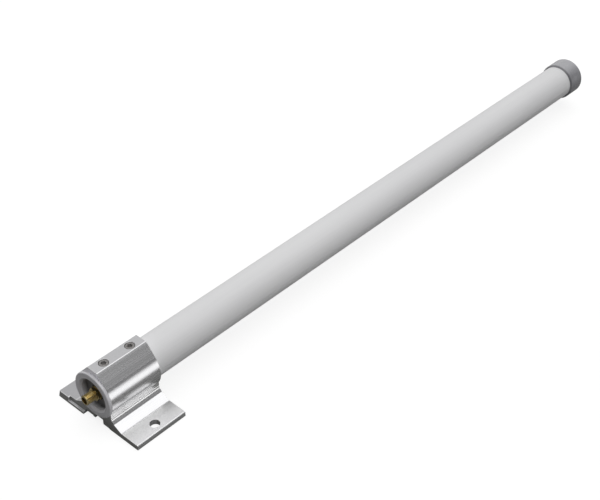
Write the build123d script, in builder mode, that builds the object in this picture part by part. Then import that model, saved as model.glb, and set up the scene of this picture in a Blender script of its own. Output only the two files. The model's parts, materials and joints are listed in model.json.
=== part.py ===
"""Omnidirectional antenna on an extruded wall bracket.

Frame: +Z points away from the mounting surface, +Y runs along the radome from the connector to the tip,
and the origin is midway between the bracket's two foot holes, on the mounting face. Millimetres.
Stations along the antenna are counted from the front face of the bracket, towards the tip.
"""

import os
from math import acos, atan2, cos, degrees, hypot, sin

from build123d import *

# Bracket extrusion
bracket_length = 37.6
foot_half_width = 34.8
foot_thickness = 3.7
foot_hole_x = 28.8
foot_hole_radius = 3.2
barrel_radius = 15.5
pad_height = 41.2
pad_half_width = 4.2
neck_half_width = 12.6
neck_foot_height = 9.25
neck_blend_radius = 2.5
ramp_top_x = 14.75
ramp_top_height = 6.86
ramp_top_radius = 1.5
ramp_end_x = 20.5
ramp_end_radius = 3.0
edge_round = 0.6
foot_edge_round = 0.3
die_groove_radius = 0.25
die_groove_height = 10.6

# Relief under the bracket, between the two feet
relief_right = 9.6
relief_left = -11.4
relief_shallow = 0.5
relief_deep = 4.2
relief_left_depth = 1.8
rib_tip_height = 1.2

# Nose on the front of the left foot
nose_reach = 2.6
nose_rake = 1.0
nose_right = -11.4
nose_corner_radius = 1.2
notch_left = -25.7
notch_floor = 1.5
notch_rake = 0.77
nose_edge_round = 0.55

# Clamp screws
screw_pitch = 20.0
screw_radius = 3.175
screw_chamfer = 0.4
screw_recess = 0.2
screw_socket_across_flats = 3.175
screw_socket_depth = 2.2
screw_hole_radius = 3.215
screw_hole_mouth_radius = 3.35
running_clearance = 0.05

# Radome
axis_height = 22.6
tube_radius = 13.0
tube_bore_radius = 11.5
tube_end = 502.0

# Base plug
flange_radius = 15.5
flange_thickness = 2.0
flange_round = 0.7
recess_mouth_radius = 11.8
recess_mouth_depth = 1.2
recess_radius = 10.6
recess_floor = 2.7
floor_thickness = 3.5
plug_radius = 11.45
plug_cavity_radius = 7.5
plug_end = 60.0
seal_section_radius = 0.75
seal_groove_width = 1.9
plug_seal_stations = (44.0, 50.0)

# End cap
cap_start = 488.0
cap_end = 504.5
cap_radius = 14.3
cap_bore_radius = 13.05
cap_edge_round = 2.2
cap_rim_chamfer = 1.0
cap_spigot_start = 494.0
cap_spigot_radius = 11.45
cap_spigot_bore_radius = 9.5
cap_seal_station = 497.0

# Coaxial jack
jack_tip = -8.0
jack_thread_radius = 3.175
jack_tip_chamfer = 0.35
jack_mouth_radius = 2.3
jack_mouth_floor = -3.0
jack_bore_radius = 2.05
jack_flange_across_flats = 9.5
jack_flange_thickness = 2.0
jack_rear_radius = 2.9
jack_rear_length = 3.0
jack_rear_wall = 0.8
jack_stem_radius = 1.6
jack_stem_length = 5.0
jack_hole_radius = 3.25
pin_radius = 0.46
pin_tip = -6.5
pin_shank_radius = 0.8
nut_front = -1.0
nut_thickness = 2.2
nut_across_flats = 8.0
nut_bore_radius = 3.225
nut_chamfer = 0.35
washer_thickness = 0.5
washer_outer_radius = 4.5
washer_ring_radius = 3.9
washer_tooth_count = 8
washer_tooth_width = 0.8
gasket_outer_radius = 4.95
gasket_bore_radius = 3.2

# Feed cable and choke
jacket_radius = 1.25
jacket_bore_radius = 1.0
braid_bore_radius = 0.8
core_radius = 0.255
strip_length = 2.5
ferrule_radius = 2.1
disc_station = 63.0
disc_thickness = 3.0
choke_start = 66.0
choke_end = 94.0
choke_radius = 4.0
choke_wall = 0.4

# Radiating elements
rod_start = 97.0
rod_length = 58.0
rod_count = 6
rod_radius = 1.5
collar_radius = 4.0
collar_thickness = 0.8
rod_eye_depth = 4.0
coil_gap = 8.0
coil_wire_radius = 0.5
coil_radius = 3.3
coil_turns = 3.5
coil_end_gap = 0.05
former_radius = 2.75
spacer_thickness = 6.0
spacer_radius = 11.4
spacer_notch_count = 6
spacer_notch_radius = 2.0
tip_cushion_start = 486.0
slip = 0.05

front_y = -bracket_length / 2
antenna_axis = Axis((0, 0, axis_height), (0, 1, 0))


def station(distance):
    """Plane across the antenna, facing the tip, at a distance from the bracket's front face."""
    return Plane(origin=(0, front_y + distance, axis_height), x_dir=(1, 0, 0), z_dir=(0, 1, 0))


# Half section through the antenna's axis: local X is the radius, local Y the station.
half_section = Plane(origin=(0, front_y, axis_height), x_dir=(1, 0, 0), z_dir=(0, 0, 1))


def save(name, label):
    """Label a finished piece and write it as its own STEP file."""
    name.part.label = label
    export_step(name.part, f"parts/{label}.step")


def add_ring(inner_radius, outer_radius, start, end, mode=Mode.ADD):
    """Round tube or disc on the antenna's axis, between two stations."""
    with BuildSketch(station(start)) as ring:
        Circle(outer_radius)
        if inner_radius > 0:
            Circle(inner_radius, mode=Mode.SUBTRACT)
    extrude(ring.sketch, amount=end - start, mode=mode)


os.makedirs("parts", exist_ok=True)


# Nose that continues the left foot past the bracket's front face: raked back, with a step cut into its top
with BuildPart() as foot_nose:
    with BuildSketch(Plane.YZ.offset(-foot_half_width)):
        with BuildLine():
            Polyline(
                (front_y, 0),
                (front_y - nose_reach, 0),
                (front_y - nose_reach + nose_rake, foot_thickness),
                (front_y, foot_thickness),
                close=True,
            )
        make_face()
    extrude(amount=foot_half_width + nose_right)
    left_edges = foot_nose.edges().group_by(Axis.X)[0]
    fillet(left_edges.sort_by(Axis.Y)[0], nose_corner_radius)
    with BuildSketch(Plane.YZ.offset(notch_left)):
        with BuildLine():
            Polyline(
                (front_y, foot_thickness + 1),
                (front_y, foot_thickness),
                (front_y - notch_rake, notch_floor),
                (front_y - nose_reach - 1, notch_floor),
                (front_y - nose_reach - 1, foot_thickness + 1),
                close=True,
            )
        make_face()
    extrude(amount=nose_right - notch_left + 1, mode=Mode.SUBTRACT)
    outer_edges = foot_nose.edges().filter_by(lambda e: e.center().X < nose_right - 1e-3)
    outer_edges = outer_edges.filter_by(lambda e: e.center().Y < front_y - 1e-3)
    fillet(outer_edges.filter_by(lambda e: e.bounding_box().min.Z > foot_thickness - 1e-3), nose_edge_round)
    outer_edges = foot_nose.edges().filter_by(lambda e: e.center().X < nose_right - 1e-3)
    outer_edges = outer_edges.filter_by(lambda e: e.center().Y < front_y - 1e-3)
    fillet(outer_edges.filter_by(lambda e: e.bounding_box().max.Z < 1e-3), foot_edge_round)


# Mounting bracket: one extrusion, drilled, with the nose on the front of its left foot
def bracket_outline():
    """Right half of the outer outline, from the top of the pad round to the middle of the mounting face."""
    corner_angle = atan2(pad_height - axis_height, pad_half_width)
    corner_distance = hypot(pad_half_width, pad_height - axis_height)
    tangent_angle = corner_angle - acos(barrel_radius / corner_distance)
    neck_angle = -acos(neck_half_width / barrel_radius)
    Line((0, pad_height), (pad_half_width, pad_height))
    flank_end = (barrel_radius * cos(tangent_angle), axis_height + barrel_radius * sin(tangent_angle))
    Line((pad_half_width, pad_height), flank_end)
    barrel = CenterArc(
        (0, axis_height), barrel_radius, degrees(tangent_angle), degrees(neck_angle - tangent_angle)
    )
    Polyline(
        barrel @ 1,
        (neck_half_width, neck_foot_height),
        (ramp_top_x, ramp_top_height),
        (ramp_end_x, foot_thickness),
        (foot_half_width, foot_thickness),
        (foot_half_width, 0),
        (0, 0),
    )


with BuildPart() as mounting_bracket:
    with BuildSketch(Plane.XZ) as profile:
        with BuildLine():
            bracket_outline()
            mirror(about=Plane.YZ)
        make_face()
        for height, distance, radius in (
            (neck_foot_height, neck_half_width, neck_blend_radius),
            (ramp_top_height, ramp_top_x, ramp_top_radius),
            (foot_thickness, ramp_end_x, ramp_end_radius),
        ):
            bends = profile.vertices().filter_by(lambda v: abs(v.Y - height) < 1e-3)
            fillet(bends.filter_by(lambda v: abs(abs(v.X) - distance) < 1e-3), radius)
        corners = profile.vertices()
        fillet(corners.filter_by(lambda v: abs(v.Y - pad_height) < 1e-3 and abs(v.X) > 1), edge_round)
        outer = profile.vertices().filter_by(lambda v: abs(abs(v.X) - foot_half_width) < 1e-3)
        fillet(outer.filter_by(lambda v: v.Y > 1), edge_round)
        outer = profile.vertices().filter_by(lambda v: abs(abs(v.X) - foot_half_width) < 1e-3)
        fillet(outer.filter_by(lambda v: v.Y < 1e-3), foot_edge_round)
        with BuildLine(mode=Mode.ADD):
            Polyline(
                (relief_right, -1),
                (relief_right, relief_shallow),
                (relief_deep, relief_shallow),
                (relief_deep, relief_deep),
                (-2.4, relief_deep),
                (-3.0, rib_tip_height),
                (-4.6, rib_tip_height),
                (-5.0, relief_left_depth),
                (relief_left, relief_left_depth),
                (relief_left, -1),
                close=True,
            )
        make_face(mode=Mode.SUBTRACT)
        with Locations((0, axis_height)):
            Circle(tube_radius + running_clearance, mode=Mode.SUBTRACT)
        with Locations((neck_half_width, die_groove_height), (-neck_half_width, die_groove_height)):
            Circle(die_groove_radius, mode=Mode.SUBTRACT)
    extrude(amount=bracket_length / 2, both=True)
    add(foot_nose.part)
    with Locations((-foot_hole_x, 0, foot_thickness), (foot_hole_x, 0, foot_thickness)):
        Hole(foot_hole_radius, depth=foot_thickness)
    with Locations((0, -screw_pitch / 2, pad_height), (0, screw_pitch / 2, pad_height)):
        CounterSinkHole(
            screw_hole_radius,
            screw_hole_mouth_radius,
            depth=pad_height - axis_height,
            counter_sink_angle=90,
        )
save(mounting_bracket, "mounting_bracket")


# Clamp screws: socket set screws that press on the tube from above
def clamp_screw(y):
    """Set screw in the pad at a place along the bracket."""
    tip_z = axis_height + tube_radius + running_clearance
    with BuildPart() as screw:
        with BuildSketch(Plane.XY.offset(tip_z).move(Location((0, y, 0)))):
            Circle(screw_radius)
        extrude(amount=pad_height - screw_recess - tip_z)
        chamfer(screw.edges().filter_by(GeomType.CIRCLE), screw_chamfer)
        with BuildSketch(Plane(screw.faces().sort_by(Axis.Z)[-1])):
            RegularPolygon(screw_socket_across_flats / 2, 6, major_radius=False)
        extrude(amount=-screw_socket_depth, mode=Mode.SUBTRACT)
    return screw


save(clamp_screw(-screw_pitch / 2), "front_clamp_screw")
save(clamp_screw(screw_pitch / 2), "rear_clamp_screw")


# Radome tube
with BuildPart() as radome_tube:
    add_ring(tube_bore_radius, tube_radius, -running_clearance, tube_end)
save(radome_tube, "radome_tube")


# Base plug: flange ring, recess for the jack, and a hollow spigot inside the tube
with BuildPart() as base_plug:
    flange_back = -running_clearance
    flange_front = flange_back - flange_thickness
    with BuildSketch(half_section):
        with BuildLine():
            Polyline(
                (jack_hole_radius, recess_floor),
                (recess_radius, recess_floor),
                (recess_radius, flange_front + recess_mouth_depth),
                (recess_mouth_radius, flange_front),
                (flange_radius, flange_front),
                (flange_radius, flange_back),
                (plug_radius, flange_back),
                (plug_radius, plug_end),
                (plug_cavity_radius, plug_end),
                (plug_cavity_radius, recess_floor + floor_thickness),
                (jack_hole_radius, recess_floor + floor_thickness),
                close=True,
            )
        make_face()
        for seal_station in plug_seal_stations:
            with Locations((plug_radius, seal_station)):
                Rectangle(2 * (plug_radius - tube_bore_radius) + 4 * seal_section_radius,
                          seal_groove_width, mode=Mode.SUBTRACT)
    revolve(axis=antenna_axis)
    rim = base_plug.edges().filter_by(GeomType.CIRCLE).sort_by(Axis.Y).group_by(Axis.Y)[0]
    fillet(rim.sort_by(SortBy.RADIUS)[-1], flange_round)
save(base_plug, "base_plug")


# Base plug seals: O-rings in the plug's two grooves
def add_seal(at_station):
    """O-ring that touches the tube's bore."""
    with BuildSketch(half_section) as section:
        with Locations((tube_bore_radius - seal_section_radius, at_station)):
            Circle(seal_section_radius)
    revolve(section.sketch, axis=antenna_axis)


with BuildPart() as base_plug_seals:
    for seal_station in plug_seal_stations:
        add_seal(seal_station)
save(base_plug_seals, "base_plug_seals")


# End cap: sleeve over the tube's end, with a spigot inside it
with BuildPart() as end_cap:
    with BuildSketch(half_section):
        with BuildLine():
            Polyline(
                (0, tube_end + slip),
                (cap_spigot_bore_radius, tube_end + slip),
                (cap_spigot_bore_radius, cap_spigot_start),
                (cap_spigot_radius, cap_spigot_start),
                (cap_spigot_radius, tube_end + slip),
                (cap_bore_radius, tube_end + slip),
                (cap_bore_radius, cap_start),
                (cap_radius, cap_start),
                (cap_radius, cap_end),
                (0, cap_end),
                close=True,
            )
        make_face()
        with Locations((cap_spigot_radius, cap_seal_station)):
            Rectangle(4 * seal_section_radius - 2 * slip, seal_groove_width, mode=Mode.SUBTRACT)
    revolve(axis=antenna_axis)
    circles = end_cap.edges().filter_by(GeomType.CIRCLE).group_by(Axis.Y)
    fillet(circles[-1].sort_by(SortBy.RADIUS)[-1], cap_edge_round)
    circles = end_cap.edges().filter_by(GeomType.CIRCLE).group_by(Axis.Y)
    chamfer(circles[0].sort_by(SortBy.RADIUS)[-1], cap_rim_chamfer)
save(end_cap, "end_cap")

with BuildPart() as end_cap_seal:
    add_seal(cap_seal_station)
save(end_cap_seal, "end_cap_seal")


# Coaxial jack: threaded barrel, rear flange, body and crimp stem in one turned piece
def add_hexagon(across_flats, start, end, bore_radius):
    """Hexagonal prism on the antenna's axis with a round bore."""
    with BuildSketch(station(start)) as hexagon:
        RegularPolygon(across_flats / 2, 6, major_radius=False)
        Circle(bore_radius, mode=Mode.SUBTRACT)
    extrude(hexagon.sketch, amount=end - start)


jack_flange_front = recess_floor + floor_thickness
jack_flange_back = jack_flange_front + jack_flange_thickness
jack_rear_back = jack_flange_back + jack_rear_length
jack_wall_back = jack_rear_back + jack_rear_wall
jack_stem_end = jack_wall_back + jack_stem_length
jack_stem_bore_radius = braid_bore_radius + slip

with BuildPart() as connector_body:
    add_ring(jack_mouth_radius, jack_thread_radius, jack_tip, jack_mouth_floor)
    tip_edges = connector_body.edges().filter_by(GeomType.CIRCLE).group_by(Axis.Y)[0]
    chamfer(tip_edges.sort_by(SortBy.RADIUS)[-1], jack_tip_chamfer)
    add_ring(jack_bore_radius, jack_thread_radius, jack_mouth_floor, jack_flange_front)
    add_hexagon(jack_flange_across_flats, jack_flange_front, jack_flange_back, jack_bore_radius)
    add_ring(jack_bore_radius, jack_rear_radius, jack_flange_back, jack_rear_back)
    add_ring(jack_stem_bore_radius, jack_rear_radius, jack_rear_back, jack_wall_back)
    add_ring(jack_stem_bore_radius, jack_stem_radius, jack_wall_back, jack_stem_end)
save(connector_body, "connector_body")

with BuildPart() as connector_insulator:
    add_ring(pin_shank_radius + slip, jack_bore_radius - slip, jack_mouth_floor, jack_rear_back)
save(connector_insulator, "connector_insulator")

with BuildPart() as connector_pin:
    add_ring(0, pin_radius, pin_tip, jack_mouth_floor)
    tip_edge = connector_pin.edges().filter_by(GeomType.CIRCLE).sort_by(Axis.Y)[0]
    fillet(tip_edge, 0.6 * pin_radius)
    add_ring(0, pin_shank_radius, jack_mouth_floor, jack_flange_back)
    add_ring(core_radius + slip, pin_shank_radius, jack_flange_back, jack_rear_back - slip)
save(connector_pin, "connector_pin")

with BuildPart() as connector_nut:
    add_hexagon(nut_across_flats, nut_front, nut_front + nut_thickness, nut_bore_radius)
    with BuildSketch(half_section):
        with BuildLine():
            Polyline(
                (0, nut_front),
                (nut_across_flats / 2, nut_front),
                (nut_across_flats / 2 + 2 * nut_chamfer, nut_front + nut_chamfer),
                (nut_across_flats / 2 + 2 * nut_chamfer, nut_front + nut_thickness),
                (0, nut_front + nut_thickness),
                close=True,
            )
        make_face()
    revolve(axis=antenna_axis, mode=Mode.INTERSECT)
save(connector_nut, "connector_nut")

# Toothed lock washer between the nut and the gasket
with BuildPart() as connector_lock_washer:
    washer_front = nut_front + nut_thickness
    with BuildSketch(station(washer_front)):
        Circle(washer_outer_radius)
        Circle(washer_ring_radius, mode=Mode.SUBTRACT)
        tooth_length = washer_ring_radius - nut_bore_radius + slip
        with PolarLocations(washer_ring_radius - tooth_length / 2 + slip, washer_tooth_count):
            Rectangle(tooth_length, washer_tooth_width)
    extrude(amount=washer_thickness)
save(connector_lock_washer, "connector_lock_washer")

with BuildPart() as connector_gasket:
    gasket_front = nut_front + nut_thickness + washer_thickness
    add_ring(gasket_bore_radius, gasket_outer_radius, gasket_front, recess_floor)
save(connector_gasket, "connector_gasket")


# Feed cable: core, dielectric, braid and jacket, each stripped back further than the one inside it
cable_start = jack_wall_back + slip
ferrule_start = jack_wall_back + 2 * slip
ferrule_end = jack_stem_end + strip_length
jacket_start = jack_stem_end + slip
dielectric_end = rod_start - slip
cable_end = rod_start + rod_eye_depth / 2

with BuildPart() as cable_core:
    add_ring(0, core_radius, jack_flange_back + slip, cable_end)
save(cable_core, "cable_core")

with BuildPart() as cable_dielectric:
    add_ring(core_radius, braid_bore_radius, jack_rear_back + slip, dielectric_end)
save(cable_dielectric, "cable_dielectric")

with BuildPart() as cable_braid:
    add_ring(braid_bore_radius, jacket_bore_radius, jacket_start, choke_end)
save(cable_braid, "cable_braid")

with BuildPart() as cable_jacket:
    add_ring(jacket_bore_radius, jacket_radius, jacket_start, choke_end - choke_wall - strip_length)
save(cable_jacket, "cable_jacket")

# Crimp ferrule: round sleeve over the jack's stem, necked down onto the cable
with BuildPart() as crimp_ferrule:
    with BuildSketch(half_section):
        with BuildLine():
            Polyline(
                (jack_stem_radius, ferrule_start),
                (ferrule_radius, ferrule_start),
                (ferrule_radius, jack_stem_end),
                (ferrule_radius - jack_stem_radius + jacket_radius, jack_stem_end + strip_length / 2),
                (ferrule_radius - jack_stem_radius + jacket_radius, ferrule_end),
                (jacket_radius, ferrule_end),
                (jacket_radius, jack_stem_end + strip_length / 2),
                (jack_stem_radius, jack_stem_end),
                close=True,
            )
        make_face()
    revolve(axis=antenna_axis)
save(crimp_ferrule, "crimp_ferrule")

# Disc that centres the cable just past the plug
with BuildPart() as cable_centring_disc:
    add_ring(jacket_radius, spacer_radius, disc_station, disc_station + disc_thickness)
save(cable_centring_disc, "cable_centring_disc")

# Choke: brass sleeve, open towards the plug and closed onto the braid at the feed point
with BuildPart() as choke_sleeve:
    add_ring(choke_radius - choke_wall, choke_radius, choke_start, choke_end)
    add_ring(jacket_bore_radius, choke_radius, choke_end - choke_wall, choke_end)
save(choke_sleeve, "choke_sleeve")


# Radiating elements: rods in line, a phasing coil on a plastic former in each gap between them
def radiator_rod(start):
    """Brass rod with a terminal collar and a wiring eye at each end."""
    end = start + rod_length
    with BuildPart() as rod:
        add_ring(0, rod_radius, start, end)
        add_ring(0, collar_radius, start, start + collar_thickness)
        add_ring(0, collar_radius, end - collar_thickness, end)
        rims = rod.edges().filter_by(GeomType.CIRCLE).sort_by(SortBy.RADIUS)[-4:]
        chamfer(rims, collar_thickness / 4)
        add_ring(0, core_radius + slip, start, start + rod_eye_depth, Mode.SUBTRACT)
    return rod


def phasing_coil(start):
    """Helical wire coil that fills the gap between two collars."""
    rise = coil_gap - 2 * (coil_wire_radius + coil_end_gap)
    coil_centre = (0, front_y + start + coil_wire_radius + coil_end_gap, axis_height)
    with BuildPart() as coil:
        with BuildLine() as path:
            Helix(rise / coil_turns, rise, coil_radius, coil_centre, (0, 1, 0))
        with BuildSketch(Plane(origin=path.line @ 0, z_dir=path.line % 0)):
            Circle(coil_wire_radius)
        sweep(path=path.line, is_frenet=True)
    return coil


def coil_former(start):
    """Plastic rod that carries a phasing coil."""
    with BuildPart() as former:
        add_ring(0, former_radius, start, start + coil_gap)
    return former


def foam_spacer(middle):
    """Foam disc threaded on a rod, with relief notches round its rim."""
    with BuildPart() as spacer:
        with BuildSketch(station(middle - spacer_thickness / 2)):
            Circle(spacer_radius)
            Circle(rod_radius, mode=Mode.SUBTRACT)
            with PolarLocations(spacer_radius, spacer_notch_count):
                Circle(spacer_notch_radius, mode=Mode.SUBTRACT)
        extrude(amount=spacer_thickness)
    return spacer


for index in range(rod_count):
    rod_begin = rod_start + index * (rod_length + coil_gap)
    save(radiator_rod(rod_begin), f"radiator_rod_{index + 1}")
    save(foam_spacer(rod_begin + rod_length / 2), f"foam_spacer_{index + 1}")
    if index < rod_count - 1:
        save(phasing_coil(rod_begin + rod_length), f"phasing_coil_{index + 1}")
        save(coil_former(rod_begin + rod_length), f"coil_former_{index + 1}")


# Tip cushion: foam plug between the last rod and the cap
with BuildPart() as tip_cushion:
    add_ring(0, spacer_radius, tip_cushion_start, cap_spigot_start)
save(tip_cushion, "tip_cushion")
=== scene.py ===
"""Looks for the omnidirectional antenna: materials, the threaded jack, camera, floor and studio light.

Everything is in metres in the CAD frame: +Z away from the mounting surface, +Y from the jack to the cap.
"""

import json
import math

import bmesh
import bpy
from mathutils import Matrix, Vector


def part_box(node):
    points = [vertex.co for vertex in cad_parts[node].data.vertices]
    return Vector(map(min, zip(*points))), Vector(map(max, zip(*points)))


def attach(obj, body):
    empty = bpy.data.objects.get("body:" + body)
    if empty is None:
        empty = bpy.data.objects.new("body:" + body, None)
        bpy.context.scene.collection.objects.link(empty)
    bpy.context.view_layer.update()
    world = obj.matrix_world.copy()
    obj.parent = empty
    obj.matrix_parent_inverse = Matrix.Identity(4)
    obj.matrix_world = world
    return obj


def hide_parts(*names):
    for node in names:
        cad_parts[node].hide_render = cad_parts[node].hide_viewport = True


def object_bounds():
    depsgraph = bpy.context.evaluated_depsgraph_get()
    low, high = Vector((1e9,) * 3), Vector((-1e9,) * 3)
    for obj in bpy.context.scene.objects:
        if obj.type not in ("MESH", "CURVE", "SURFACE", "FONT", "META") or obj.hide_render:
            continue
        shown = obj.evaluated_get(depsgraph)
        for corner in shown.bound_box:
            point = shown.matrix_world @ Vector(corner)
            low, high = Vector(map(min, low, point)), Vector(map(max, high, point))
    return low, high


MM = 0.001
WHITE = (1.0, 1.0, 1.0, 1.0)

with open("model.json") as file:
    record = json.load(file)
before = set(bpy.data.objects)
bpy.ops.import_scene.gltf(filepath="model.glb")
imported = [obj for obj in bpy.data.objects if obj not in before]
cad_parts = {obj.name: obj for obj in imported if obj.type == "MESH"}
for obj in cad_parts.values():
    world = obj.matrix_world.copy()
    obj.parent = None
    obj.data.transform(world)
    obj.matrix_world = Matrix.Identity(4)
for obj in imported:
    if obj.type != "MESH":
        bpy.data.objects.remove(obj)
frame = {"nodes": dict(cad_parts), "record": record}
cad_low, cad_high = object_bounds()


# ---------------------------------------------------------------- shader building blocks

NOISE_ROUGHNESS = 0.55
EDGE_COSINES = (0.985, 0.90)


class Shader:
    """A new node material, with short ways to add and join its nodes."""

    def __init__(self, name):
        self.material = bpy.data.materials.new(name)
        self.material.use_nodes = True
        self.tree = self.material.node_tree
        self.surface = self.tree.nodes["Principled BSDF"]
        self.place = self.add("ShaderNodeTexCoord").outputs["Object"]
        self.normal = self.add("ShaderNodeTexCoord").outputs["Normal"]

    def add(self, kind, **settings):
        node = self.tree.nodes.new(kind)
        for key, value in settings.items():
            setattr(node, key, value)
        return node

    def join(self, source, target):
        """Feed an input from a socket, or set it to a plain value."""
        if isinstance(source, bpy.types.NodeSocket):
            self.tree.links.new(source, target)
        else:
            target.default_value = source

    def set(self, name, source):
        self.join(source, self.surface.inputs[name])

    def math(self, operation, first, second=0.0, third=0.0):
        node = self.add("ShaderNodeMath", operation=operation)
        for socket, value in zip(node.inputs, (first, second, third)):
            self.join(value, socket)
        return node.outputs[0]

    def axis(self, vector, letter):
        node = self.add("ShaderNodeSeparateXYZ")
        self.join(vector, node.inputs[0])
        return node.outputs[letter]

    def stretch(self, scale):
        """Coordinates in metres times a scale for each axis."""
        node = self.add("ShaderNodeVectorMath", operation="MULTIPLY")
        self.join(self.place, node.inputs[0])
        self.join(scale, node.inputs[1])
        return node.outputs[0]

    def noise(self, scale, detail=3.0):
        """Noise from 0 to 1, with one scale per axis in features per metre."""
        node = self.add("ShaderNodeTexNoise")
        node.inputs["Scale"].default_value = 1.0
        node.inputs["Detail"].default_value = detail
        node.inputs["Roughness"].default_value = NOISE_ROUGHNESS
        self.join(self.stretch(scale), node.inputs["Vector"])
        return node.outputs["Fac"]

    def span(self, value, low, high, to_low=0.0, to_high=1.0):
        """Map low..high of a value to a new range, clamped."""
        node = self.add("ShaderNodeMapRange", clamp=True)
        for name, source in (("Value", value), ("From Min", low), ("From Max", high),
                             ("To Min", to_low), ("To Max", to_high)):
            self.join(source, node.inputs[name])
        return node.outputs["Result"]

    def mix(self, factor, first, second):
        """Blend two colours."""
        node = self.add("ShaderNodeMix", data_type="RGBA")
        self.join(factor, node.inputs[0])
        for socket, value in ((node.inputs[6], first), (node.inputs[7], second)):
            self.join(value if isinstance(value, bpy.types.NodeSocket) else (*value, 1.0), socket)
        return node.outputs[2]

    def bump(self, height, distance, strength=1.0, normal=None):
        node = self.add("ShaderNodeBump")
        self.join(height, node.inputs["Height"])
        node.inputs["Distance"].default_value = distance
        node.inputs["Strength"].default_value = strength
        if normal is not None:
            self.join(normal, node.inputs["Normal"])
        return node.outputs["Normal"]

    def soft_edges(self, radius):
        """Normal rounded over sharp edges."""
        node = self.add("ShaderNodeBevel", samples=6)
        node.inputs["Radius"].default_value = radius
        return node.outputs["Normal"]

    def edge_mask(self, radius):
        """1 on sharp edges, 0 on open faces."""
        geometry = self.add("ShaderNodeNewGeometry")
        node = self.add("ShaderNodeVectorMath", operation="DOT_PRODUCT")
        self.join(self.soft_edges(radius), node.inputs[0])
        self.join(geometry.outputs["Normal"], node.inputs[1])
        return self.span(node.outputs["Value"], *EDGE_COSINES)


def grey(value):
    return (value, value, value)


# ---------------------------------------------------------------- materials, one per slot of the record

# How far along a noise's own range its dark and light ends are set
NOISE_ENDS = (0.3, 0.7)

# Bracket: heights and distances that split its painted reflection and shade tones, and how squarely a face
# looks along Y or Z
END_FACE_COSINES = (0.75, 0.95)
FLAT_TOP_COSINES = (0.992, 0.9995)
FOOT_HEIGHT = 0.1 * cad_high.z
PAD_HEIGHT = 0.9 * cad_high.z
NECK_LOW = 0.21 * cad_high.z
NECK_HIGH = 0.50 * cad_high.z
RAMP_END_X = 0.55 * cad_high.x
LEFT_FOOT_START_X = -0.2 * cad_high.x
LEFT_FOOT_FULL_X = -0.4 * cad_high.x

# Clamp screws
SCREW_RING_PITCH = 0.75 * MM
SOCKET_RADIUS = 1.85 * MM

# Base plug: depths behind its front face between which the painted shade darkens the recess
RECESS_SHADE_START = 2.2 * MM
RECESS_SHADE_END = 4.6 * MM


def anodised_aluminium():
    """Extruded aluminium: drawn lines along Y, a matt grain on the flat tops, sawn ends and worn edges.

    The tones by place are painted reflection and shade: pale neck and ramp side, grey left foot and pad, and
    sawn ends painted darker near the floor and paler up high.
    """
    s = Shader("anodised_aluminium")
    die_lines = s.noise((2600.0, 1.0, 2600.0), detail=2.0)
    broad_lines = s.noise((520.0, 0.4, 520.0), detail=2.0)
    grain = s.noise((5200.0, 3600.0, 5200.0), detail=2.0)
    clouds = s.noise(grey(70.0), detail=3.0)
    saw_marks = s.noise((150.0, 150.0, 5200.0), detail=2.0)
    end_face = s.span(s.math("ABSOLUTE", s.axis(s.normal, "Y")), *END_FACE_COSINES)
    flat_top = s.span(s.axis(s.normal, "Z"), *FLAT_TOP_COSINES)
    side = s.axis(s.place, "X")
    up = s.axis(s.place, "Z")
    height = s.span(up, FOOT_HEIGHT, PAD_HEIGHT)

    tone = s.math("MULTIPLY_ADD", s.span(broad_lines, *NOISE_ENDS), 0.6, s.math("MULTIPLY", clouds, 0.4))
    side_colour = s.mix(tone, (0.62, 0.62, 0.63), (0.75, 0.75, 0.76))
    # Pale neck: painted reflection of the bright ramp below it.
    above_foot = s.span(up, NECK_LOW, 1.12 * NECK_LOW)
    below_barrel = s.span(up, NECK_HIGH, 0.8 * NECK_HIGH)
    pale_neck_reflection = s.math("MULTIPLY", above_foot, below_barrel)
    side_colour = s.mix(s.math("MULTIPLY", pale_neck_reflection, 0.9), side_colour, grey(0.95))
    foot_colour = s.mix(s.span(grain, *NOISE_ENDS), (0.60, 0.60, 0.605), (0.70, 0.70, 0.705))
    # Paler towards the ramp, less at the right foot's outer edge: painted reflection.
    foot_colour = s.mix(s.span(side, cad_high.x, RAMP_END_X, 0.0, 0.85), foot_colour, grey(0.92))
    # Left foot darker: painted dim reflection.
    dim_left_foot_reflection = s.span(side, LEFT_FOOT_START_X, LEFT_FOOT_FULL_X)
    foot_colour = s.mix(dim_left_foot_reflection, foot_colour, (0.38, 0.38, 0.39))
    pad_colour = s.mix(s.span(grain, *NOISE_ENDS), (0.42, 0.42, 0.43), (0.54, 0.54, 0.55))
    # Sawn ends: painted shade near the floor and painted light up high, over the saw marks.
    sawn_end_shade = s.mix(s.span(saw_marks, *NOISE_ENDS), (0.38, 0.38, 0.375), (0.48, 0.48, 0.47))
    sawn_end_light = s.mix(s.span(saw_marks, *NOISE_ENDS), (0.88, 0.87, 0.90), (0.97, 0.96, 0.99))
    # Flat tops darker with height towards the pad: painted reflection.
    top_colour = s.mix(height, foot_colour, pad_colour)
    colour = s.mix(end_face, s.mix(flat_top, side_colour, top_colour), s.mix(height, sawn_end_shade, sawn_end_light))
    edges = s.edge_mask(0.35 * MM)
    s.set("Base Color", s.mix(s.math("MULTIPLY", edges, 0.7), colour, grey(0.86)))
    s.set("Metallic", 1.0)

    streaks = s.span(broad_lines, 0.35, 0.65, 0.20, 0.25)
    drawn = s.math("MULTIPLY_ADD", s.span(grain, 0.25, 0.75), 0.06, streaks)
    rough = s.math("MULTIPLY_ADD", flat_top, 0.10, s.math("MULTIPLY_ADD", end_face, 0.25, drawn))
    s.set("Roughness", rough)
    lines = s.math("MULTIPLY", die_lines, s.math("SUBTRACT", 1.0, end_face))
    cuts = s.math("MULTIPLY", saw_marks, end_face)
    relief = s.math("ADD", s.math("ADD", lines, cuts), s.math("MULTIPLY", grain, 0.5))
    s.set("Normal", s.bump(relief, 0.004 * MM, 0.6, s.soft_edges(0.12 * MM)))
    return s.material


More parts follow.
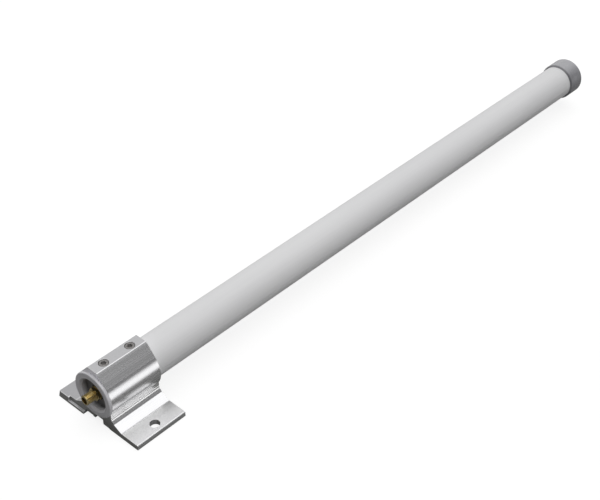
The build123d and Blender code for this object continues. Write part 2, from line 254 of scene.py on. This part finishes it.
def screw_steel():
    """Blackened steel: turned rings round each screw's own axis, and a paler tone inside the socket as
    painted light in that recess.
    """
    s = Shader("screw_steel")
    clouds = s.noise(grey(900.0), detail=3.0)
    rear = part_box("rear_clamp_screw")
    along = s.math("SUBTRACT", s.math("ABSOLUTE", s.axis(s.place, "Y")), (rear[0][1] + rear[1][1]) / 2)
    across = s.axis(s.place, "X")
    squares = s.math("ADD", s.math("MULTIPLY", along, along), s.math("MULTIPLY", across, across))
    radius = s.math("SQRT", squares)
    rings = s.math("SINE", s.math("MULTIPLY", radius, 2 * math.pi / SCREW_RING_PITCH))
    edges = s.edge_mask(0.25 * MM)
    colour = s.mix(clouds, (0.15, 0.142, 0.138), (0.24, 0.23, 0.225))
    colour = s.mix(s.span(rings, -0.2, 0.9, 0.0, 0.7), colour, (0.34, 0.33, 0.325))
    # Paler inside the socket: painted light in the recess.
    colour = s.mix(s.span(radius, SOCKET_RADIUS, 0.9 * SOCKET_RADIUS), colour, (0.42, 0.41, 0.405))
    s.set("Base Color", s.mix(s.math("MULTIPLY", edges, 0.4), colour, (0.46, 0.45, 0.44)))
    s.set("Metallic", 0.85)
    s.set("Roughness", s.span(clouds, *NOISE_ENDS, 0.36, 0.50))
    s.set("Normal", s.bump(rings, 0.02 * MM, 0.4, s.soft_edges(0.1 * MM)))
    return s.material


def radome_white():
    """Satin gel coat on a fibreglass tube: faint fibre lines along Y, a few dull patches."""
    s = Shader("radome_white")
    fibres = s.noise((900.0, 14.0, 900.0), detail=3.0)
    clouds = s.noise((22.0, 9.0, 22.0), detail=3.0)
    peel = s.noise(grey(1500.0), detail=2.0)
    tone = s.math("MULTIPLY_ADD", fibres, 0.35, s.math("MULTIPLY", clouds, 0.65))
    s.set("Base Color", s.mix(s.span(tone, *NOISE_ENDS), (0.68, 0.68, 0.69), (0.73, 0.73, 0.735)))
    s.set("Roughness", s.span(clouds, *NOISE_ENDS, 0.50, 0.62))
    s.set("Specular IOR Level", 0.35)
    relief = s.math("MULTIPLY_ADD", fibres, 0.5, s.math("MULTIPLY", peel, 0.5))
    s.set("Normal", s.bump(relief, 0.02 * MM, 0.35, s.soft_edges(0.2 * MM)))
    return s.material


def moulded_plastic(name, dark, light, roughness, bump_scale=2600.0, bump_depth=0.02, painted_tone=None):
    """Injection-moulded plastic: fine spark texture, slight clouding, polished edges.

    The last argument, if given, makes from the shader a second colour and the factor that mixes it in:
    painted highlight on the cap, painted shade in the plug's recess.
    """
    s = Shader(name)
    texture = s.noise(grey(bump_scale), detail=2.0)
    clouds = s.noise(grey(160.0), detail=3.0)
    edges = s.edge_mask(0.35 * MM)
    colour = s.mix(s.span(clouds, *NOISE_ENDS), dark, light)
    worn = tuple(min(1.0, 1.12 * value) for value in light)
    colour = s.mix(s.math("MULTIPLY", edges, 0.6), colour, worn)
    if painted_tone is not None:
        factor, painted_colour = painted_tone(s)
        colour = s.mix(factor, colour, painted_colour)
    s.set("Base Color", colour)
    s.set("Roughness", s.math("MULTIPLY_ADD", texture, 0.12, roughness - 0.06))
    s.set("Normal", s.bump(texture, bump_depth * MM, 0.5, s.soft_edges(0.18 * MM)))
    return s.material


def painted_cap_highlight(s):
    """Painted highlight: a lighter tone on the upper side."""
    return s.span(s.axis(s.normal, "Z"), 0.55, 0.98, 0.0, 0.85), (0.40, 0.40, 0.42)


def cap_grey():
    dark, light = (0.22, 0.22, 0.235), (0.265, 0.265, 0.28)
    return moulded_plastic("cap_grey", dark, light, 0.27, painted_tone=painted_cap_highlight)


def painted_recess_shade(s):
    """Painted shade, darker towards the floor of the connector's recess: 0 on the ring, most at the floor.
    """
    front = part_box("base_plug")[0][1]
    depth = s.math("SUBTRACT", s.axis(s.place, "Y"), front)
    return s.span(depth, RECESS_SHADE_START, RECESS_SHADE_END, 0.0, 0.8), (0.035, 0.035, 0.030)


def plug_grey():
    return moulded_plastic("plug_grey", (0.57, 0.565, 0.59), (0.64, 0.635, 0.66), 0.36, painted_tone=painted_recess_shade)


def black_plastic():
    return moulded_plastic("black_plastic", grey(0.02), grey(0.035), 0.45)


def white_ptfe():
    return moulded_plastic("white_ptfe", grey(0.76), grey(0.86), 0.38)


def brown_jacket():
    return moulded_plastic("brown_jacket", (0.11, 0.045, 0.02), (0.17, 0.075, 0.035), 0.25)


def seal_rubber():
    return moulded_plastic("seal_rubber", grey(0.012), grey(0.025), 0.62, 1800.0, 0.03)


def white_foam():
    """Closed-cell foam: small round cells, matt."""
    s = Shader("white_foam")
    cells = s.add("ShaderNodeTexVoronoi", feature="DISTANCE_TO_EDGE")
    cells.inputs["Scale"].default_value = 1.0
    s.join(s.stretch(grey(1400.0)), cells.inputs["Vector"])
    walls = s.span(cells.outputs["Distance"], 0.0, 0.25)
    s.set("Base Color", s.mix(walls, grey(0.84), grey(0.72)))
    s.set("Roughness", 0.85)
    s.set("Normal", s.bump(walls, -0.15 * MM, 0.7))
    return s.material


def turned_metal(name, dark, light, roughness):
    """Turned and plated metal: fine rings round Y, a little tarnish in patches, and darker streaks along Y
    as painted reflection.
    """
    s = Shader(name)
    rings = s.noise((30.0, 9000.0, 30.0), detail=2.0)
    tarnish = s.noise(grey(420.0), detail=3.0)
    edges = s.edge_mask(0.15 * MM)
    painted_reflection_streaks = s.noise((1500.0, 3.0, 1500.0), detail=2.0)
    colour = s.mix(s.span(tarnish, 0.45, 0.75), light, dark)
    # Dark streaks along Y: painted reflection streaks on the round body.
    colour = s.mix(s.span(painted_reflection_streaks, 0.48, 0.62, 0.0, 0.75), colour, tuple(0.35 * value for value in dark))
    s.set("Base Color", s.mix(s.math("MULTIPLY", edges, 0.5), colour, light))
    s.set("Metallic", 1.0)
    s.set("Roughness", s.span(tarnish, *NOISE_ENDS, roughness, roughness + 0.08))
    s.set("Normal", s.bump(rings, 0.0015 * MM, 0.5, s.soft_edges(0.05 * MM)))
    return s.material


def gold_plating():
    return turned_metal("gold_plating", (0.50, 0.38, 0.13), (0.80, 0.66, 0.36), 0.17)


def brass():
    return turned_metal("brass", (0.42, 0.29, 0.12), (0.66, 0.49, 0.24), 0.28)


def copper_wire():
    return turned_metal("copper_wire", (0.45, 0.18, 0.09), (0.72, 0.36, 0.22), 0.22)


def tinned_braid():
    """Woven tinned wires: two crossing sets of fine diagonal bands."""
    s = Shader("tinned_braid")
    weave = s.add("ShaderNodeTexWave", wave_type="BANDS", bands_direction="DIAGONAL")
    weave.inputs["Scale"].default_value = 1.0
    weave.inputs["Distortion"].default_value = 0.6
    s.join(s.stretch(grey(1100.0)), weave.inputs["Vector"])
    s.set("Base Color", s.mix(weave.outputs["Fac"], grey(0.30), grey(0.68)))
    s.set("Metallic", 1.0)
    s.set("Roughness", 0.35)
    s.set("Normal", s.bump(weave.outputs["Fac"], 0.05 * MM))
    return s.material


RECIPES = (anodised_aluminium, screw_steel, radome_white, cap_grey, plug_grey, seal_rubber, gold_plating,
           white_ptfe, brass, copper_wire, tinned_braid, brown_jacket, black_plastic, white_foam)
MATERIALS = {recipe.__name__: recipe() for recipe in RECIPES}

for subpart in frame["record"]["subparts"]:
    mesh = frame["nodes"][subpart["node"]].data
    mesh.materials.clear()
    mesh.materials.append(MATERIALS[subpart["material_slot"]])


# ---------------------------------------------------------------- threaded jack

# Places along Y are counted from the jack's tip
THREAD_RADIUS = 3.175 * MM
THREAD_PITCH = 25.4 / 36 * MM
THREAD_DEPTH = 0.40 * MM
TIP_CHAMFER = 0.35 * MM
TIP_BAND = 0.55 * MM
MOUTH_RADIUS = 2.3 * MM
MOUTH_LIP = 0.15 * MM
MOUTH_DEPTH = 5.0 * MM
BORE_RADIUS = 2.05 * MM
FLANGE_FRONT = 14.2 * MM
FLANGE_BACK = 16.2 * MM
FLANGE_ACROSS_FLATS = 9.5 * MM
FLANGE_BEVEL = 0.25 * MM
REAR_RADIUS = 2.9 * MM
REAR_BACK = 19.2 * MM
WALL_BACK = 20.0 * MM
STEM_RADIUS = 1.6 * MM
STEM_BORE_RADIUS = 0.85 * MM
ROUND_STEPS = 96
STEPS_PER_PITCH = 12
RUN_OUT = 0.4 * MM
FLANK_GAIN = 1.35
CREST_FLAT = 0.175
SHARP_ANGLE = math.radians(28)


def circle(radius):
    return lambda angle: radius


def hexagon(across_flats, largest_radius):
    """Hexagon with flats facing +Z and -Z, its corners cut back to a largest radius."""
    def radius(angle):
        from_flat = (angle + math.pi / 6 - math.pi / 2) % (math.pi / 3) - math.pi / 6
        return min(across_flats / 2 / math.cos(from_flat), largest_radius)
    return radius


def thread(y):
    """Radius of a 60 degree thread round one place along Y, with small flats on crest and root."""
    def radius(angle):
        phase = (y / THREAD_PITCH + angle / (2 * math.pi)) % 1.0
        slope = abs(2 * phase - 1) * FLANK_GAIN - CREST_FLAT
        depth = THREAD_DEPTH * min(1.0, max(0.0, slope))
        start_fade = max(0.0, (y - TIP_BAND) / THREAD_PITCH)
        end_fade = max(0.0, (FLANGE_FRONT - RUN_OUT - y) / THREAD_PITCH)
        return THREAD_RADIUS - depth * min(1.0, start_fade, end_fade)
    return radius


def lathe(name, rows, centre_x, start_y, centre_z):
    """Closed mesh from rows of (place along Y, radius as a function of the angle)."""
    mesh = bpy.data.meshes.new(name)
    shape = bmesh.new()
    rings = []
    for y, radius in rows:
        ring = []
        for step in range(ROUND_STEPS):
            angle = 2 * math.pi * step / ROUND_STEPS
            r = radius(angle)
            place = (centre_x + r * math.cos(angle), start_y + y, centre_z + r * math.sin(angle))
            ring.append(shape.verts.new(place))
        rings.append(ring)
    for near, far in zip(rings, rings[1:] + rings[:1]):
        for step in range(ROUND_STEPS):
            after = (step + 1) % ROUND_STEPS
            shape.faces.new((near[step], near[after], far[after], far[step]))
    bmesh.ops.recalc_face_normals(shape, faces=shape.faces)
    shape.to_mesh(mesh)
    shape.free()
    mesh.shade_smooth()
    mesh.set_sharp_from_angle(angle=SHARP_ANGLE)
    piece = bpy.data.objects.new(name, mesh)
    bpy.context.scene.collection.objects.link(piece)
    return piece


def threaded_jack():
    """Coaxial jack with a modelled thread, in the place of the plain CAD one."""
    low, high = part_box("connector_body")
    length = high[1] - low[1]
    corner_radius = FLANGE_ACROSS_FLATS / 2 / math.cos(math.pi / 6)
    flange = hexagon(FLANGE_ACROSS_FLATS, corner_radius)
    bevelled = hexagon(FLANGE_ACROSS_FLATS - FLANGE_BEVEL, corner_radius - 2 * FLANGE_BEVEL)
    rows = [
        (0.0, circle(MOUTH_RADIUS + MOUTH_LIP)),
        (0.0, circle(THREAD_RADIUS - TIP_CHAMFER)),
        (TIP_CHAMFER, circle(THREAD_RADIUS)),
    ]
    step = THREAD_PITCH / STEPS_PER_PITCH
    count = int((FLANGE_FRONT - TIP_BAND) / step)
    rows += [(TIP_BAND + i * step, thread(TIP_BAND + i * step)) for i in range(count)]
    rows += [
        (FLANGE_FRONT, circle(THREAD_RADIUS)),
        (FLANGE_FRONT, bevelled),
        (FLANGE_FRONT + FLANGE_BEVEL, flange),
        (FLANGE_BACK - FLANGE_BEVEL, flange),
        (FLANGE_BACK, bevelled),
        (FLANGE_BACK, circle(REAR_RADIUS)),
        (WALL_BACK, circle(REAR_RADIUS)),
        (WALL_BACK, circle(STEM_RADIUS)),
        (length, circle(STEM_RADIUS)),
        (length, circle(STEM_BORE_RADIUS)),
        (REAR_BACK, circle(STEM_BORE_RADIUS)),
        (REAR_BACK, circle(BORE_RADIUS)),
        (MOUTH_DEPTH, circle(BORE_RADIUS)),
        (MOUTH_DEPTH, circle(MOUTH_RADIUS)),
        (MOUTH_LIP, circle(MOUTH_RADIUS)),
    ]
    jack = lathe("threaded_jack", rows, (low[0] + high[0]) / 2, low[1], (low[2] + high[2]) / 2)
    jack.data.materials.append(MATERIALS["gold_plating"])
    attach(jack, "antenna")
    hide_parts("connector_body")


threaded_jack()


# ---------------------------------------------------------------- camera

CAMERA_PLACE = Vector((0.4257, -0.3088, 0.5170))
CAMERA_AZIMUTH = math.radians(42.36)
CAMERA_ELEVATION = math.radians(37.79)
CAMERA_LENS = 72.16
CAMERA_SENSOR = 36.0
CLIP_START = 0.01
CLIP_END = 50.0

camera = bpy.data.objects.new("camera", bpy.data.cameras.new("camera"))
bpy.context.scene.collection.objects.link(camera)
camera.data.sensor_width = CAMERA_SENSOR
camera.data.lens = CAMERA_LENS
towards_camera = Vector((
    math.sin(CAMERA_AZIMUTH) * math.cos(CAMERA_ELEVATION),
    -math.cos(CAMERA_AZIMUTH) * math.cos(CAMERA_ELEVATION),
    math.sin(CAMERA_ELEVATION),
))
camera.location = CAMERA_PLACE
camera.rotation_mode = "QUATERNION"
camera.rotation_quaternion = (-towards_camera).to_track_quat("-Z", "Y")
camera.data.clip_start = CLIP_START
camera.data.clip_end = CLIP_END
bpy.context.scene.camera = camera


# ---------------------------------------------------------------- floor, world and lights

FLOOR_SIZE = 20.0
FLOOR_GAP = 0.02 * MM
FLOOR_GLOW = 0.84
# Grey strip seen only in reflections: painted shade of the floor near the object, clear from NEAR_FLOOR to
# FAR_FLOOR out.
FLOOR_SHADE_COLOUR = (0.24, 0.24, 0.235, 1.0)
NEAR_FLOOR = 55 * MM
FAR_FLOOR = 95 * MM


def pale_floor():
    """Plain pale floor: almost white to the camera, and to other rays a grey strip under the object, painted
    shade of the floor near it.
    """
    s = Shader("pale_floor")
    mottle = s.noise(grey(6.0), detail=2.0)
    s.set("Base Color", s.mix(mottle, grey(0.20), grey(0.22)))
    s.set("Roughness", 0.9)
    s.set("Specular IOR Level", 0.0)
    s.set("Emission Color", WHITE)
    s.set("Emission Strength", FLOOR_GLOW)
    # Grey strip for reflections only: painted shade of the floor near the object.
    strip = s.add("ShaderNodeBsdfDiffuse")
    strip.inputs["Color"].default_value = FLOOR_SHADE_COLOUR
    clear = s.add("ShaderNodeBsdfTransparent")
    away = s.span(s.math("ABSOLUTE", s.axis(s.place, "X")), NEAR_FLOOR, FAR_FLOOR)
    in_reflections = s.add("ShaderNodeMixShader")
    s.join(away, in_reflections.inputs[0])
    s.join(strip.outputs[0], in_reflections.inputs[1])
    s.join(clear.outputs[0], in_reflections.inputs[2])
    shown = s.add("ShaderNodeMixShader")
    s.join(s.add("ShaderNodeLightPath").outputs["Is Camera Ray"], shown.inputs[0])
    s.join(in_reflections.outputs[0], shown.inputs[1])
    s.join(s.surface.outputs[0], shown.inputs[2])
    s.join(shown.outputs[0], s.tree.nodes["Material Output"].inputs["Surface"])
    return s.material


floor_corners = [(FLOOR_SIZE * x, FLOOR_SIZE * y, 0) for x, y in ((-1, -1), (1, -1), (1, 1), (-1, 1))]
floor_mesh = bpy.data.meshes.new("floor")
floor_mesh.from_pydata(floor_corners, [], [(0, 1, 2, 3)])
floor = bpy.data.objects.new("floor", floor_mesh)
floor.location.z = cad_low.z - FLOOR_GAP
floor_mesh.materials.append(pale_floor())
bpy.context.scene.collection.objects.link(floor)


def view_direction(azimuth, elevation):
    """Unit vector from the object: azimuth in degrees from -Y towards +X, elevation up from the floor."""
    a = math.radians(azimuth)
    e = math.radians(elevation)
    return Vector((math.sin(a) * math.cos(e), -math.cos(a) * math.cos(e), math.sin(e)))


CEILING_AXIS = view_direction(140, 82)
CEILING_EDGE = math.cos(math.radians(45.5))
CEILING_SOFTNESS = 0.05
CEILING_LIGHT = 1.35
STRIP_AZIMUTH = 116
STRIP_HALF_WIDTH = math.radians(24)
STRIP_HALF_HEIGHT = math.radians(14)
STRIP_SIDE_SOFTNESS = 0.03
STRIP_TOP_SOFTNESS = 0.04
STRIP_LIGHT = 1.35
BACK_WALL_LIGHT = 0.14
FRONT_WALL_LIGHT = 0.14
WALL_BLEND = 0.3
LEFT_WALL = view_direction(-125, 30)
LEFT_WALL_COSINES = (0.45, 0.80)
LEFT_WALL_LIGHT = 0.62


class WorldShader(Shader):
    """The world's own node tree, with the same short ways."""

    def __init__(self, world):
        world.use_nodes = True
        self.tree = world.node_tree
        self.surface = self.tree.nodes["Background"]
        self.place = self.add("ShaderNodeTexCoord").outputs["Generated"]

    def along(self, direction):
        node = self.add("ShaderNodeVectorMath", operation="DOT_PRODUCT")
        self.join(self.place, node.inputs[0])
        self.join(tuple(direction), node.inputs[1])
        return node.outputs["Value"]


def studio_world():
    """Soft round ceiling light, a low strip light behind on the right, and dim walls."""
    world = bpy.data.worlds.new("studio")
    s = WorldShader(world)
    towards_back = s.along((0.0, 1.0, 0.0))
    walls = s.span(towards_back, -WALL_BLEND, WALL_BLEND, FRONT_WALL_LIGHT, BACK_WALL_LIGHT)
    ceiling = s.span(s.along(CEILING_AXIS), CEILING_EDGE - CEILING_SOFTNESS, CEILING_EDGE + CEILING_SOFTNESS)
    side_edge = math.cos(STRIP_HALF_WIDTH)
    across = s.span(s.along(view_direction(STRIP_AZIMUTH, 0)),
                    side_edge - STRIP_SIDE_SOFTNESS, side_edge + STRIP_SIDE_SOFTNESS)
    height = s.math("ABSOLUTE", s.axis(s.place, "Z"))
    top_edge = math.sin(STRIP_HALF_HEIGHT)
    level = s.span(height, top_edge + STRIP_TOP_SOFTNESS, top_edge - STRIP_TOP_SOFTNESS)
    strip = s.math("MULTIPLY", across, level)
    lit = s.math("ADD", s.math("MULTIPLY", ceiling, CEILING_LIGHT), s.math("MULTIPLY", strip, STRIP_LIGHT))
    left = s.span(s.along(LEFT_WALL), *LEFT_WALL_COSINES, 0.0, LEFT_WALL_LIGHT)
    walls = s.math("ADD", walls, s.math("MULTIPLY", left, s.math("SUBTRACT", 1.0, ceiling)))
    s.set("Strength", s.math("ADD", walls, lit))
    s.set("Color", WHITE)
    bpy.context.scene.world = world


studio_world()

bpy.context.scene.view_settings.view_transform = "Standard"
